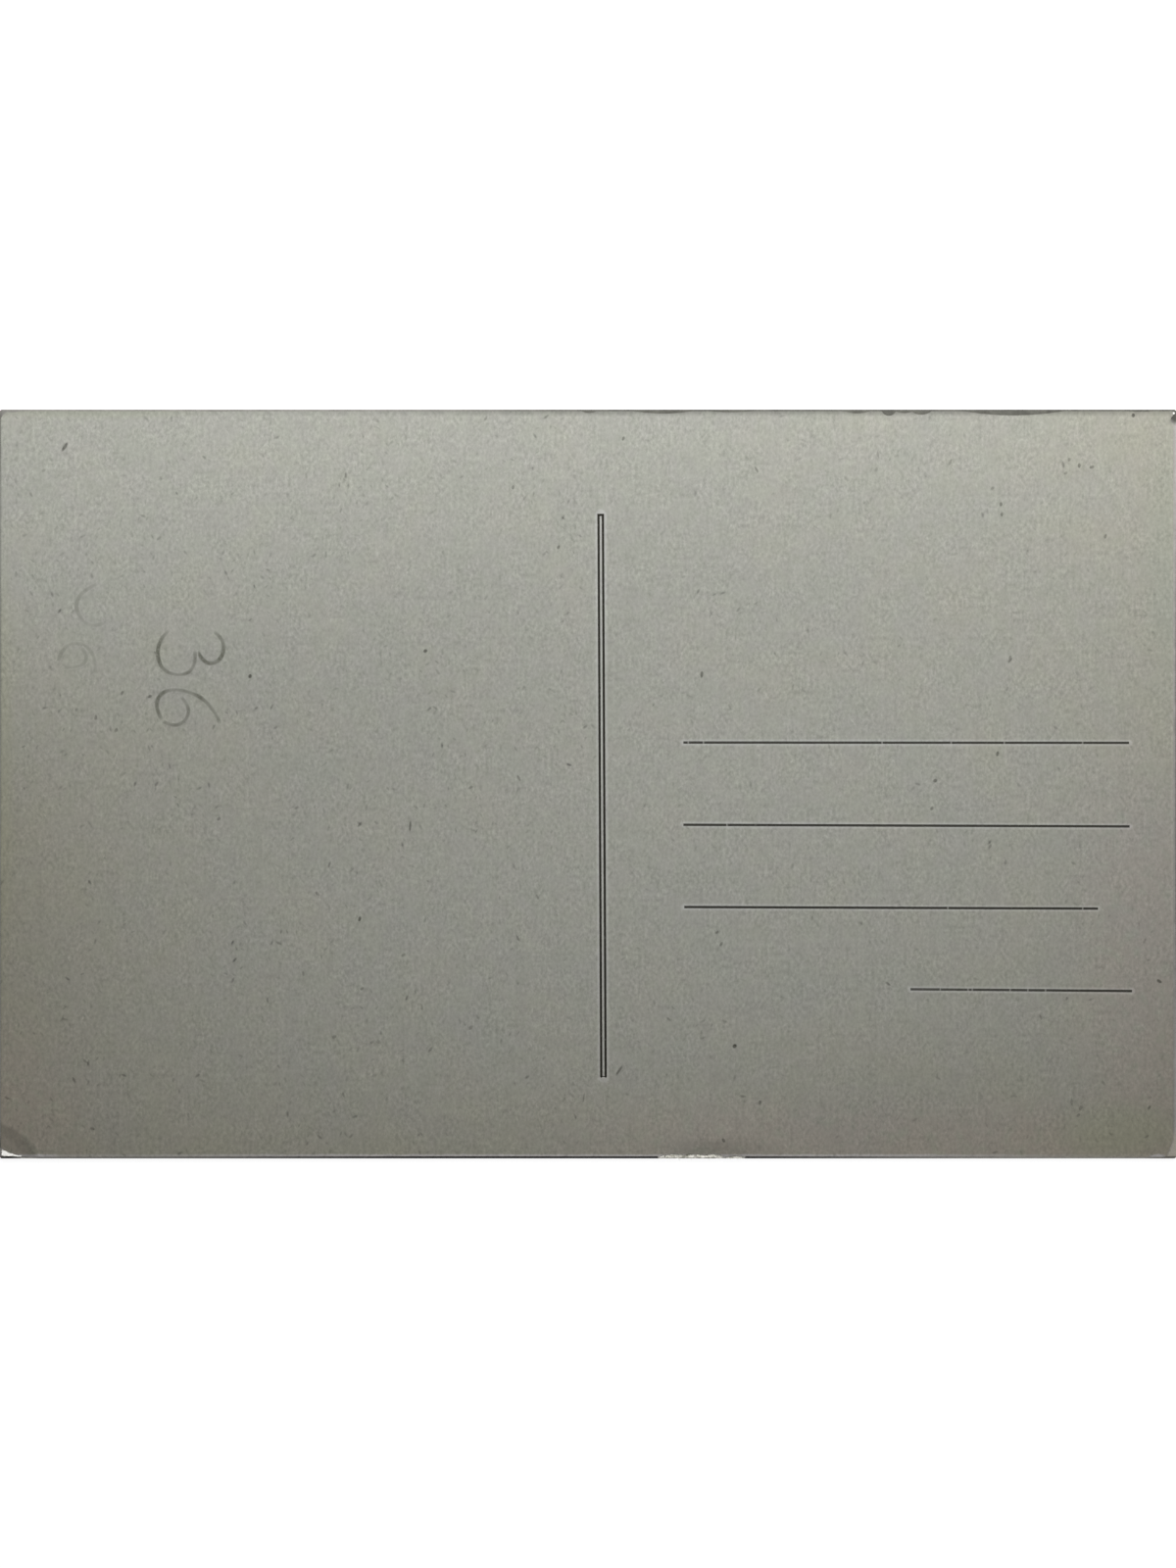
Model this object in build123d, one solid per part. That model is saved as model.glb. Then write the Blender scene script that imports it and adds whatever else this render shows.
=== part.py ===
"""An old picture postcard, lying picture side down with its address side up.

The card is pasteboard: a pulp core with a finer sheet pasted to each face. The sheet on the address
side carries printed rules, and the sheet on the other side carries the picture. The address sheet is
worn back from the edges of the core, and chips of it are missing.

Millimetres. The origin is under the card's middle, on the surface that it lies on. +X runs along the
card to the right of someone reading the address side, +Y runs up the card and +Z points out of it.
"""

from build123d import *
from math import atan2, cos, hypot, radians, sin
import os

# Outline of the board
card_length = 139.7
card_height = 88.9
board_corner_radius = 0.3

# Plies, from the picture side up
front_liner_thickness = 0.10
front_paste_thickness = 0.015
core_thickness = 0.18
back_paste_thickness = 0.015
back_liner_thickness = 0.12
paste_margin = 0.8
paste_corner_radius = 1.5

# Picture on the front liner, inside a blank border
picture_border = 4.5
picture_film_thickness = 0.012

# Wear of the back liner: a rim rubbed off along each edge
left_rim_wear = 0.15
right_rim_wear = 0.42
top_rim_wear = 0.20
bottom_rim_wear = 0.19

# More of the back liner is lost at each corner, as (along X, along Y): three are rubbed round and one is
# torn off straight
top_left_wear = (2.0, 1.8)
top_right_wear = (1.2, 1.3)
bottom_left_wear = (5.8, 1.8)
bottom_right_tear = (1.37, 3.47)

# Chips out of the back liner's edges: (distance from the edge's right or upper end, width, depth)
top_edge_chips = [
    (4.25, 6.0, 0.28),
    (19.35, 14.0, 0.72),
    (30.30, 2.8, 0.64),
    (32.30, 3.0, 0.44),
    (34.15, 1.8, 0.76),
    (37.90, 4.0, 0.48),
    (52.90, 8.0, 0.34),
    (60.90, 9.0, 0.50),
    (69.70, 2.4, 0.44),
    (113.85, 9.0, 0.26),
    (138.20, 3.0, 0.36),
]
bottom_edge_chips = [
    (52.35, 3.2, 0.36),
    (54.95, 3.0, 0.64),
    (57.25, 4.2, 0.58),
    (59.65, 4.2, 0.62),
]
right_edge_chips = [(1.25, 1.1, 0.70)]

# Bruise across the bottom left corner of the back liner, where the corner has been knocked thin
bruise_length = 5.2
bruise_height = 4.6
bruise_drop = 0.08

# Printing on the back liner: how deep the ink soaks in, and how wide an address rule prints
ink_depth = 0.02
rule_width = 0.295

# Divider: two rules under a square cap, with a thin link between their lower ends
divider_offset = 1.67
divider_top_margin = 12.38
divider_bottom_margin = 9.60
divider_rule_pitch = 0.52
divider_rule_width = 0.28
divider_link_width = 0.10
divider_lean = 0.285

# Address rules, from the top one down: (indent from the block, margin to the right edge, lean in degrees)
address_gap = 9.65
address_rule_pitch = 9.76
address_bottom_margin = 20.09
address_rules = [
    (0.0, 5.63, -0.04),
    (0.0, 5.58, -0.21),
    (0.10, 9.33, -0.22),
    (26.95, 5.28, -0.46),
]

# Levels that follow from the plies
front_paste_floor = front_liner_thickness
core_floor = front_paste_floor + front_paste_thickness
back_paste_floor = core_floor + core_thickness
back_liner_floor = back_paste_floor + back_paste_thickness
card_top = back_liner_floor + back_liner_thickness
ink_floor = card_top - ink_depth


def sheet(outline, floor, thickness):
    """A flat sheet of one thickness whose underside lies at floor."""
    return Pos(0, 0, floor) * extrude(outline, amount=thickness)


def board_outline():
    """The card as it was cut, with its corners a little rubbed."""
    return RectangleRounded(card_length, card_height, board_corner_radius)


def corner_loss(side_x, side_y, loss):
    """What wear takes off one corner: all that lies outside a quarter ellipse."""
    along_x, along_y = loss
    corner = Pos(side_x * card_length / 2, side_y * card_height / 2)
    middle = Pos(-side_x * along_x, -side_y * along_y)
    square = Rectangle(2 * along_x, 2 * along_y)
    kept = middle * (Ellipse(along_x, along_y) + Pos(-side_x * along_x, 0) * square)
    kept += middle * Pos(0, -side_y * along_y) * square
    return corner * (square - kept)


def corner_tear(side_x, side_y, loss):
    """What a straight tear takes off one corner."""
    along_x, along_y = loss
    corner = Pos(side_x * card_length / 2, side_y * card_height / 2)
    return corner * Polygon((0, 0), (0, -side_y * along_y), (-side_x * along_x, 0), align=None)


def edge_chip(width, depth):
    """A round cutter that takes a shallow bite out of an edge lying along X at Y 0."""
    radius = (width**2 / 4 + depth**2) / (2 * depth)
    return Pos(0, radius - depth) * Circle(radius)


def back_liner_outline():
    """The address sheet's outline after its rim, corners and chips are lost."""
    length = card_length - left_rim_wear - right_rim_wear
    height = card_height - top_rim_wear - bottom_rim_wear
    middle = Pos((left_rim_wear - right_rim_wear) / 2, (bottom_rim_wear - top_rim_wear) / 2)
    outline = middle * Rectangle(length, height)
    outline -= corner_loss(-1, 1, top_left_wear)
    outline -= corner_loss(1, 1, top_right_wear)
    outline -= corner_loss(-1, -1, bottom_left_wear)
    outline -= corner_tear(1, -1, bottom_right_tear)
    right = card_length / 2
    top = card_height / 2
    for distance, width, depth in top_edge_chips:
        outline -= Pos(right - distance, top) * edge_chip(width, depth)
    for distance, width, depth in bottom_edge_chips:
        outline -= Pos(right - distance, -top) * Rot(0, 0, 180) * edge_chip(width, depth)
    for distance, width, depth in right_edge_chips:
        outline -= Pos(right, top - distance) * Rot(0, 0, -90) * edge_chip(width, depth)
    return outline


def bruise_plane():
    """The plane that the bruised corner slopes down along, through its crease in the top face."""
    reach = bruise_length * bruise_height / hypot(bruise_length, bruise_height)
    slope = atan2(bruise_drop, reach)
    crease_turn = atan2(bruise_height, bruise_length)
    toward_corner = Vector(-sin(crease_turn), -cos(crease_turn))
    normal = toward_corner * sin(slope) + Vector(0, 0, 1) * cos(slope)
    start = (-card_length / 2 + bruise_length, -card_height / 2, card_top)
    return Plane(origin=start, z_dir=normal)


def divider_rule():
    """The double rule between the message half and the address half, as one ring of ink."""
    length = card_height - divider_top_margin - divider_bottom_margin
    middle = (divider_bottom_margin - divider_top_margin) / 2
    end = (length - divider_rule_width) / 2
    rule = SlotOverall(length, divider_rule_width, rotation=90)
    ring = Pos(0, end) * Rectangle(divider_rule_pitch + divider_rule_width, divider_rule_width)
    ring += Pos(-divider_rule_pitch / 2, 0) * rule
    ring += Pos(divider_rule_pitch / 2, 0) * rule
    ring += Pos(0, -end) * Rectangle(divider_rule_pitch, divider_link_width)
    return Pos(divider_offset, middle) * Rot(0, 0, divider_lean) * sheet(ring, ink_floor, ink_depth)


def address_rule(row):
    """One address rule, laid out from its left end."""
    indent, right_margin, lean = address_rules[row]
    left = divider_offset + address_gap + indent
    length = (card_length / 2 - right_margin - left) / cos(radians(lean))
    rows_below = len(address_rules) - 1 - row
    height = address_bottom_margin + rows_below * address_rule_pitch - card_height / 2
    line = Pos(length / 2, 0) * Rectangle(length, rule_width)
    return Pos(left, height) * Rot(0, 0, lean) * sheet(line, ink_floor, ink_depth)


def back_liner(printing):
    """The address sheet, with shallow seats for the ink that soaks into it and its bruised corner."""
    liner = sheet(back_liner_outline(), back_liner_floor, back_liner_thickness)
    for ink in printing:
        liner -= ink
    return split(liner, bisect_by=bruise_plane(), keep=Keep.BOTTOM)


def picture_print():
    """The printed picture, a film of ink in the outer face of the front liner."""
    picture = Rectangle(card_length - 2 * picture_border, card_height - 2 * picture_border)
    return sheet(picture, 0, picture_film_thickness)


def front_liner(picture):
    """The picture sheet, with a shallow seat for the film of ink."""
    return sheet(board_outline(), 0, front_liner_thickness) - picture


def core_board():
    """The pulp middle of the card, which keeps the full outline."""
    return sheet(board_outline(), core_floor, core_thickness)


def paste_film(floor, thickness):
    """A film of paste between two plies, which stops short of their edges."""
    length = card_length - 2 * paste_margin
    height = card_height - 2 * paste_margin
    return sheet(RectangleRounded(length, height, paste_corner_radius), floor, thickness)


def postcard():
    """Every piece of the card, by name."""
    pieces = {"divider_rule": divider_rule()}
    for row in range(len(address_rules)):
        pieces[f"address_rule_{row + 1}"] = address_rule(row)
    pieces["back_liner"] = back_liner(list(pieces.values()))
    pieces["back_paste"] = paste_film(back_paste_floor, back_paste_thickness)
    pieces["core_board"] = core_board()
    pieces["front_paste"] = paste_film(front_paste_floor, front_paste_thickness)
    pieces["picture_print"] = picture_print()
    pieces["front_liner"] = front_liner(pieces["picture_print"])
    return pieces


os.makedirs("parts", exist_ok=True)
for name, piece in postcard().items():
    piece.label = name
    export_step(piece, f"parts/{name}.step")
    print(name, "volume", round(piece.volume, 3), "mm3")
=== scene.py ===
"""Dresses an old postcard, address side up: aged paper, printed rules, pencil, wear and a plain studio.

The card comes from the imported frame, in metres. +X runs along the card to the right, +Y runs up the
card and +Z points out of the address side. Patterns and marks are laid out in millimetres from the
card's middle.
"""

import math
import random
from functools import reduce

import bpy
from bpy.props import FloatProperty, FloatVectorProperty, IntProperty, PointerProperty
from bpy.types import Operator, Panel, PropertyGroup
from mathutils import Euler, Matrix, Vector


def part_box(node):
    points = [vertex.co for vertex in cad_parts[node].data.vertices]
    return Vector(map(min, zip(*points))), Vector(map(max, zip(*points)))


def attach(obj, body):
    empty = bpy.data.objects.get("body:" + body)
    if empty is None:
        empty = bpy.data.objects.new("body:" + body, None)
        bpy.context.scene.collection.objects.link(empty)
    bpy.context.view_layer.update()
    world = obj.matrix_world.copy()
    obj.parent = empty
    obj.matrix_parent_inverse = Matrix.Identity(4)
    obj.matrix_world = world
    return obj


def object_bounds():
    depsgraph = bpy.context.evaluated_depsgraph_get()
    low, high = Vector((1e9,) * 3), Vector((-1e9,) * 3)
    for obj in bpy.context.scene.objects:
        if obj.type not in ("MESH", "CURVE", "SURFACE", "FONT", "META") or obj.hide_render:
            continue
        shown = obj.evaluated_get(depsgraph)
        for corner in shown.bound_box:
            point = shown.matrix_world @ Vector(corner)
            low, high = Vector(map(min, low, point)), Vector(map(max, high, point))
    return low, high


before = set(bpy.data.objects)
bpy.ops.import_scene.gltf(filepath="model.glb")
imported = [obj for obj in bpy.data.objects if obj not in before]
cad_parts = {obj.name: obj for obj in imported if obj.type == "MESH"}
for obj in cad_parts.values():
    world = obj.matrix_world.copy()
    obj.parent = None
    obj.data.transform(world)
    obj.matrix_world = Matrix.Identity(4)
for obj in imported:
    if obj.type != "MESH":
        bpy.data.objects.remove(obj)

bl_info = {
    "name": "Old Postcard",
    "version": (1, 0, 0),
    "blender": (4, 5, 0),
    "location": "View3D > Sidebar > Postcard",
    "description": "Dresses a pasteboard postcard with aged paper, printing, pencil and wear",
    "category": "Object",
}

MM = 0.001
BODY = "root"

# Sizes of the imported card
CARD_LOW, CARD_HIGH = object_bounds()
CARD_TOP = CARD_HIGH.z
CARD_LENGTH = CARD_HIGH.x - CARD_LOW.x
HALF_LENGTH = CARD_HIGH.x / MM
HALF_HEIGHT = CARD_HIGH.y / MM
CORE_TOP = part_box("core_board")[1].z
RULE_NODES = ["divider_rule", "address_rule_1", "address_rule_2", "address_rule_3", "address_rule_4"]


# Settings that a user would change

def colour_setting(thing, default):
    """The colour of a thing, as linear red, green and blue."""
    limits = {"subtype": "COLOR", "size": 3, "min": 0.0, "max": 1.0}
    described = f"Colour of the {thing}"
    return FloatVectorProperty(name=thing.capitalize(), description=described, default=default, **limits)


def number_setting(name, description, default, **kind):
    """A number from 0 up."""
    return FloatProperty(name=name, description=description, min=0.0, default=default, **kind)


def share_setting(name, description, default):
    """A share from 0 to 1."""
    return number_setting(name, description, default, max=1.0, subtype="FACTOR")


def length_setting(name, description, default):
    """A length in metres."""
    return number_setting(name, description, default, subtype="DISTANCE", unit="LENGTH", precision=6)


class PaperSettings(PropertyGroup):
    """The paper of the address side."""

    colour: colour_setting("paper away from its edges", (0.304, 0.307, 0.273))
    aged: colour_setting("paper near its edges", (0.306, 0.291, 0.227))
    lip: colour_setting("paper where its edge is rubbed", (0.464, 0.446, 0.432))
    grain: share_setting("Grain", "How strongly light and dark pulp shows", 0.56)
    flecks: share_setting("Flecks", "How dark the scattered wood fibres are", 0.44)
    halo: share_setting("Halo", "How much paler the paper is beside printing", 0.26)
    relief: length_setting("Relief", "Height of the paper's grain", 1.6e-6)


class PrintingSettings(PropertyGroup):
    """The printed rules of the address side."""

    ink: colour_setting("printing ink", (0.021, 0.02, 0.016))
    wear: share_setting("Wear", "How much of the ink has rubbed away", 0.12)


class BoardSettings(PropertyGroup):
    """The plies under the address sheet."""

    pulp: colour_setting("freshly torn pulp board", (0.84, 0.82, 0.75))
    # Painted shade: this darker colour fills the hollows between clumps of torn pulp, where shade falls.
    shaded_hollow: colour_setting("hollows in torn pulp", (0.35, 0.345, 0.28))
    clean: colour_setting("pulp at the corners", (0.93, 0.92, 0.88))
    handled: colour_setting("board's rubbed rim", (0.32, 0.306, 0.286))
    worn: colour_setting("board at its lower right corner", (0.38, 0.355, 0.305))
    grime: colour_setting("dirt in the chips of the upper edge", (0.105, 0.104, 0.09))
    # Near-black colour painted along the cut edges; along the lower edge it is painted shade below the
    # sheet's step.
    dark_line: colour_setting("dark line along the cut edge", (0.014, 0.013, 0.013))
    paste: colour_setting("dried paste", (0.42, 0.36, 0.25))


class PictureSettings(PropertyGroup):
    """The picture side, which lies underneath."""

    paper: colour_setting("picture side's border", (0.6, 0.55, 0.43))
    light: colour_setting("sky", (0.5, 0.43, 0.31))
    middle: colour_setting("hills", (0.2, 0.155, 0.1))
    dark: colour_setting("trees", (0.035, 0.026, 0.018))


class PencilSettings(PropertyGroup):
    """The pencilled number on the message half."""

    graphite: colour_setting("pencil", (0.081, 0.083, 0.063))
    pressure: share_setting("Pressure", "How dark the pencil strokes are", 0.94)
    rubbed: share_setting("Rubbed out", "How dark the rubbed-out strokes still are", 0.46)
    width: length_setting("Stroke width", "Width of a pencil stroke", 0.7 * MM)
    height: length_setting("Film height", "How far the graphite stands on the paper", 4e-6)


class WearSettings(PropertyGroup):
    """Torn stock and the wood flecks that stand out."""

    fleck: colour_setting("wood flecks", (0.048, 0.047, 0.038))
    fleck_height: length_setting("Fleck height", "How far a wood fleck stands on the paper", 5e-6)
    fibre_width: length_setting("Fibre width", "Width of a torn fibre at its root", 0.03 * MM)
    fibre_length: length_setting("Fibre length", "Length of a torn fibre", 0.55 * MM)
    flake_thickness: length_setting("Flake thickness", "Thickness of a torn flake", 0.03 * MM)
    fibres: IntProperty(name="Fibres", description="Fibres along the torn edge", min=1, max=400, default=90)
    seed: IntProperty(name="Seed", description="Picks one arrangement of the fibres", min=0, default=7)


class StudioSettings(PropertyGroup):
    """Floor, lamps and camera."""

    floor: length_setting("Floor", "Length of the floor's sides", 8.0)
    key_watts: number_setting("Key lamp", "Power of the strip lamp", 0.626, unit="POWER")
    fill_watts: number_setting("Fill lamp", "Power of the soft lamp", 0.068, unit="POWER")
    ambient: number_setting("Ambient", "Strength of the light all round", 0.08)
    lens: number_setting("Lens", "Focal length", 85.0, unit="CAMERA", subtype="DISTANCE_CAMERA")


class PostcardSettings(PropertyGroup):
    """All settings of the postcard."""

    paper: PointerProperty(type=PaperSettings)
    printing: PointerProperty(type=PrintingSettings)
    board: PointerProperty(type=BoardSettings)
    picture: PointerProperty(type=PictureSettings)
    pencil: PointerProperty(type=PencilSettings)
    wear: PointerProperty(type=WearSettings)
    studio: PointerProperty(type=StudioSettings)


# Nodes

class Recipe:
    """A node tree to fill, and the material or world that it belongs to."""

    def __init__(self, tree, owner=None):
        self.tree = tree
        self.owner = owner

    def node(self, kind, feeds=None, **choices):
        """A new shader node with its choices made and its inputs fed."""
        node = self.tree.nodes.new(f"ShaderNode{kind}")
        for name, choice in choices.items():
            setattr(node, name, choice)
        for name, value in (feeds or {}).items():
            self.feed(node.inputs[name], value)
        return node

    def feed(self, socket, value):
        """Joins an input to a value, or sets it to a plain one."""
        if isinstance(value, Value):
            self.tree.links.new(value.socket, socket)
        elif socket.type == "RGBA":
            socket.default_value = (*value, 1)
        elif socket.type == "VECTOR":
            socket.default_value = tuple(value)
        else:
            socket.default_value = value

    def result(self, kind, output=0, feeds=None, **choices):
        """What one output of a new node gives."""
        return Value(self, self.node(kind, feeds, **choices).outputs[output])


class Value:
    """A number, vector or colour that a node gives. A sum of it is a new node."""

    def __init__(self, recipe, socket):
        self.recipe = recipe
        self.socket = socket

    def calc(self, operation, second=0, clamp=False):
        """One sum of this number and another."""
        feeds = {0: self, 1: second}
        return self.recipe.result("Math", 0, feeds, operation=operation, use_clamp=clamp)

    def __add__(self, other):
        return self.calc("ADD", other)

    def __sub__(self, other):
        return self.calc("SUBTRACT", other)

    def __rsub__(self, other):
        return self * -1 + other

    def __mul__(self, other):
        return self.calc("MULTIPLY", other)

    def __abs__(self):
        return self.calc("ABSOLUTE")

    __radd__ = __add__
    __rmul__ = __mul__

    def clamped(self):
        """This number, held between 0 and 1."""
        return self.calc("ADD", clamp=True)

    def ramp(self, start, end, first=0, last=1):
        """A smooth step of this number: first at start, last at end."""
        feeds = {"Value": self, "From Min": start, "From Max": end, "To Min": first, "To Max": last}
        return self.recipe.result("MapRange", 0, feeds, interpolation_type="SMOOTHSTEP")

    def fading(self, strength, reach):
        """A share that is strongest where this distance is 0, and fades with it."""
        return (self * (-1 / reach)).calc("EXPONENT") * strength

    def mix(self, first, second, blend="MIX"):
        """Two colours, mixed with this share of the second."""
        feeds = {0: self, 6: first, 7: second}
        return self.recipe.result("Mix", 2, feeds, data_type="RGBA", blend_type=blend)

    def shade(self, colour):
        """A colour or vector multiplied by this number."""
        feeds = {0: colour, "Scale": self}
        return self.recipe.result("VectorMath", 0, feeds, operation="SCALE")

    def vector(self, operation, *others, output="Vector"):
        """One sum of this vector and others."""
        feeds = dict(enumerate((self, *others)))
        return self.recipe.result("VectorMath", output, feeds, operation=operation)

    def length(self):
        """Length of this vector."""
        return self.vector("LENGTH", output="Value")

    def dot(self, other):
        """Dot product of this vector and another."""
        return self.vector("DOT_PRODUCT", other, output="Value")

    def axis(self, name):
        """X, Y or Z of this vector, or the red, green or blue of this colour."""
        return self.recipe.result("SeparateXYZ", name, {0: self})


def largest(*values):
    """The largest of several values."""
    return reduce(lambda found, value: found.calc("MAXIMUM", value), values)


def remaining(*shares):
    """What is left of 1 after each share is taken in turn."""
    return math.prod(1 - share for share in shares)


class CardFace:
    """Places on the card in millimetres, from its middle and edges, and patterns there."""

    def __init__(self, recipe):
        self.recipe = recipe
        metres = recipe.result("TexCoord", "Object")
        self.place = metres.vector("MULTIPLY", (1 / MM, 1 / MM, 0))
        self.across = self.place.axis("X")
        self.up = self.place.axis("Y")
        self.left = self.across + HALF_LENGTH
        self.right = HALF_LENGTH - self.across
        self.lower = self.up + HALF_HEIGHT
        self.upper = HALF_HEIGHT - self.up

    def noise(self, scale, detail=2, roughness=0.5, stretch=(1, 1), shift=(0, 0)):
        """Cloudy noise from -0.5 to 0.5, with so many features in a millimetre."""
        place = self.place.vector("MULTIPLY_ADD", (*stretch, 0), (*shift, 0))
        feeds = {"Vector": place, "Scale": scale, "Detail": detail, "Roughness": roughness}
        return self.recipe.result("TexNoise", 0, feeds, noise_dimensions="2D") - 0.5

    def offset(self, centre, radii):
        """Place from a centre, counted in radii."""
        from_centre = self.place.vector("SUBTRACT", (*centre, 0))
        return from_centre.vector("MULTIPLY", (1 / radii[0], 1 / radii[1], 0))

    def spot(self, centre, radii, soft=0.5):
        """1 in an ellipse about a centre, fading out towards its edge."""
        return self.offset(centre, radii).length().ramp(1, 1 - soft)

    def line_distance(self, start, end):
        """Distance from the straight line between two points."""
        along = Vector((end[0] - start[0], end[1] - start[1], 0))
        from_start = self.place.vector("SUBTRACT", (*start, 0))
        nearest = from_start.dot(along / along.length_squared).clamped().shade(along)
        return from_start.vector("SUBTRACT", nearest).length()

    def strokes(self, spacing, length, width, shift, spread):
        """Short scattered fibres, each turned its own way and of its own strength."""
        recipe = self.recipe
        shifted = self.place.vector("ADD", (shift, 0.7 * shift, 0))
        feeds = {"Vector": shifted, "Scale": 1 / spacing}
        cells = recipe.node("TexVoronoi", feeds, voronoi_dimensions="2D", feature="F1")
        chance = Value(recipe, cells.outputs["Color"])
        from_middle = shifted.vector("SUBTRACT", Value(recipe, cells.outputs["Position"]))
        feeds = {"Vector": from_middle, "Angle": (chance.axis("X") - 0.5) * spread}
        turned = recipe.result("VectorRotate", 0, feeds, rotation_type="Z_AXIS")
        shape = turned.vector("MULTIPLY", (2 / width, 2 / length, 0)).length().ramp(1, 0.25)
        return shape * chance.axis("Y").calc("POWER", 2)


def recipe_for(owner):
    """The recipe of a material or a world, with nothing in it yet."""
    owner.use_nodes = True
    owner.node_tree.nodes.clear()
    return Recipe(owner.node_tree, owner)


def new_face(name):
    """The card's face in a new material."""
    return CardFace(recipe_for(bpy.data.materials.new(name)))


def matt(card, colour, height, relief, roughness=0.9, gloss=0.16):
    """The face's material, finished as a matt surface with a relief in metres."""
    recipe = card.recipe
    bump = recipe.result("Bump", 0, {"Height": height, "Distance": relief})
    feeds = {"Base Color": colour, "Roughness": roughness, "Specular IOR Level": gloss, "Normal": bump}
    shader = recipe.result("BsdfPrincipled", 0, feeds)
    recipe.node("OutputMaterial", {"Surface": shader})
    return recipe.owner


# Paper of the address side

# How the paper's grain is drawn out
GRAIN_STRETCH = (1, 0.72)

# Soft dark patches of the paper: the three wide ones are painted shade where the light falls off, the band
# above the tear is partly browning and partly painted shadow, and the last is dirt beside the dirty chip:
# (middle, radii in millimetres, strength)
DARK_PATCHES = [
    ((20, 27), (75, 30), 0.055),
    ((-29, 9), (46, 28), 0.055),
    ((40, -37), (34, 14), 0.045),
    ((15.5, -43.5), (9, 2), 0.2),
    ((69.8, 43.3), (1.3, 0.9), 0.45),
]

# How far age has browned the paper from its sides and its lower edge, and how far painted shade darkens it
# there
SIDE_BROWNING_AND_SHADE = 20
LOWER_BROWNING_AND_SHADE = 10

# Bruised corner: its reach along the lower edge and up the left one, and its painted shades, with a painted
# highlight along the crease's ridge
BRUISE_LENGTH = 4.8
BRUISE_HEIGHT = 4.2
BRUISE_SHADE = 0.05
FOLD_SHADE = 0.17
RIDGE_SHADE = 0.06

# Tinges of the paper's patches, as shares of its red, green and blue
OLIVE_TINGE = (0.994, 1.003, 0.988)
LILAC_TINGE = (1.006, 0.997, 1.01)
RUST_TINGE = (1.042, 0.985, 1.01)
GREEN_TINGE = (0.966, 1, 0.995)
YELLOW_TINGE = (0.985, 1, 0.945)
HALO_TINGE = (0.992, 0.988, 1.035)

# Stains of the paper: (middle, radii in millimetres)
RUSTY_CORNER = ((-HALF_LENGTH, -40), (17, 17))
GREEN_STAINS = [((69.8, 26), (5, 24))]
YELLOW_STAINS = [((-58, 44.4), (18, 1.5)), ((-69.8, 2), (2.2, 36)), ((63, -41), (10, 4.5))]

# How far the paper is paler beside printing, and how wide its pale lip is at the lower edge
HALO_REACH = 0.36
DIVIDER_HALO_REACH = 0.66
HALO_FADE = 0.16
LIP_WIDTH = 0.46
BRIGHT_LIP = ((67.6, -44.3), (1.3, 0.6))

# Where fresh pulp shows on the lower edge, in millimetres
TEAR_LEFT = 8.35
TEAR_RIGHT = 18.6
TEAR_DEPTH = 0.75
TEAR_FADE = 0.1


def rule_line(node):
    """The middle line of a printed rule, as its two ends in millimetres."""
    low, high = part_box(node)
    axis = 0 if high.x - low.x > high.y - low.y else 1
    reach = 2 * min(high.x - low.x, high.y - low.y)
    corners = [vertex.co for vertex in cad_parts[node].data.vertices]
    first = [corner for corner in corners if corner[axis] < low[axis] + reach]
    last = [corner for corner in corners if corner[axis] > high[axis] - reach]
    return [tuple(sum(group, Vector()).xy / len(group) / MM) for group in (first, last)]


def fibre_grain(card):
    """Light and dark pulp at several scales, about 0."""
    coarse = card.noise(0.7, detail=1, roughness=0.6, stretch=GRAIN_STRETCH)
    middle = card.noise(2.6, roughness=0.6, stretch=GRAIN_STRETCH, shift=(31, 17))
    patchy = card.noise(0.3).ramp(-0.2, 0.2, 0.65, 1.25)
    light = card.strokes(spacing=0.8, length=0.85, width=0.22, shift=11, spread=1.8)
    return coarse * 0.28 + middle * patchy + light * 0.22


def scattered_fibres(card):
    """Dark wood fibres, faint and strong, in loose drifts that thin out to the right."""
    faint = card.strokes(spacing=1, length=0.8, width=0.3, shift=5, spread=2.2)
    strong = card.strokes(spacing=2.3, length=1, width=0.42, shift=23, spread=2.6)
    drifts = card.noise(0.09, detail=1).ramp(-0.16, 0.2, 0.35, 1)
    thinner = card.across.ramp(-20, 35, 1, 0.65)
    knots = card.noise(0.4, shift=(3, 29)).ramp(-0.2, 0.2, 0.3, 1.2)
    return (faint * 0.7 + strong * 1.2) * drifts * thinner * knots


def print_halo(card):
    """Paler paper close beside the printing, where the type pressed it."""
    shares = []
    for node in RULE_NODES:
        reach = DIVIDER_HALO_REACH if node == "divider_rule" else HALO_REACH
        distance = card.line_distance(*rule_line(node))
        shares.append(distance.ramp(reach + HALO_FADE, reach - HALO_FADE))
    return largest(*shares)


def pale_lip(card):
    """Paper rubbed pale along the lower edge, less so towards its ends."""
    ragged = card.noise(1.4, detail=3, roughness=0.65) * 0.25
    lip = (card.lower + ragged).ramp(LIP_WIDTH + 0.1, LIP_WIDTH - 0.04)
    left_end = largest(card.left.ramp(8, 45, 0.4, 1), card.left.ramp(9, 5.5))
    right_end = largest(card.right.ramp(5, 40, 0.15, 1), card.spot(*BRIGHT_LIP))
    return lip * left_end * right_end


def inside_tear(card):
    """1 along the part of the lower edge where fresh pulp shows."""
    from_left = card.across.ramp(TEAR_LEFT - TEAR_FADE, TEAR_LEFT)
    return from_left * card.across.ramp(TEAR_RIGHT + TEAR_FADE, TEAR_RIGHT)


def lower_shade_line(card):
    """How dark the painted shade line along the lower edge is: most in its middle and corners, and none
    where torn.
    """
    middle = abs(card.across + 2).ramp(60, 15, 0, 0.93)
    left_corner = card.left.ramp(4, 1, 0, 0.92)
    right_corner = card.right.ramp(1.7, 1, 0, 0.7)
    return largest(middle, left_corner, right_corner) * (1 - inside_tear(card))


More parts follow.
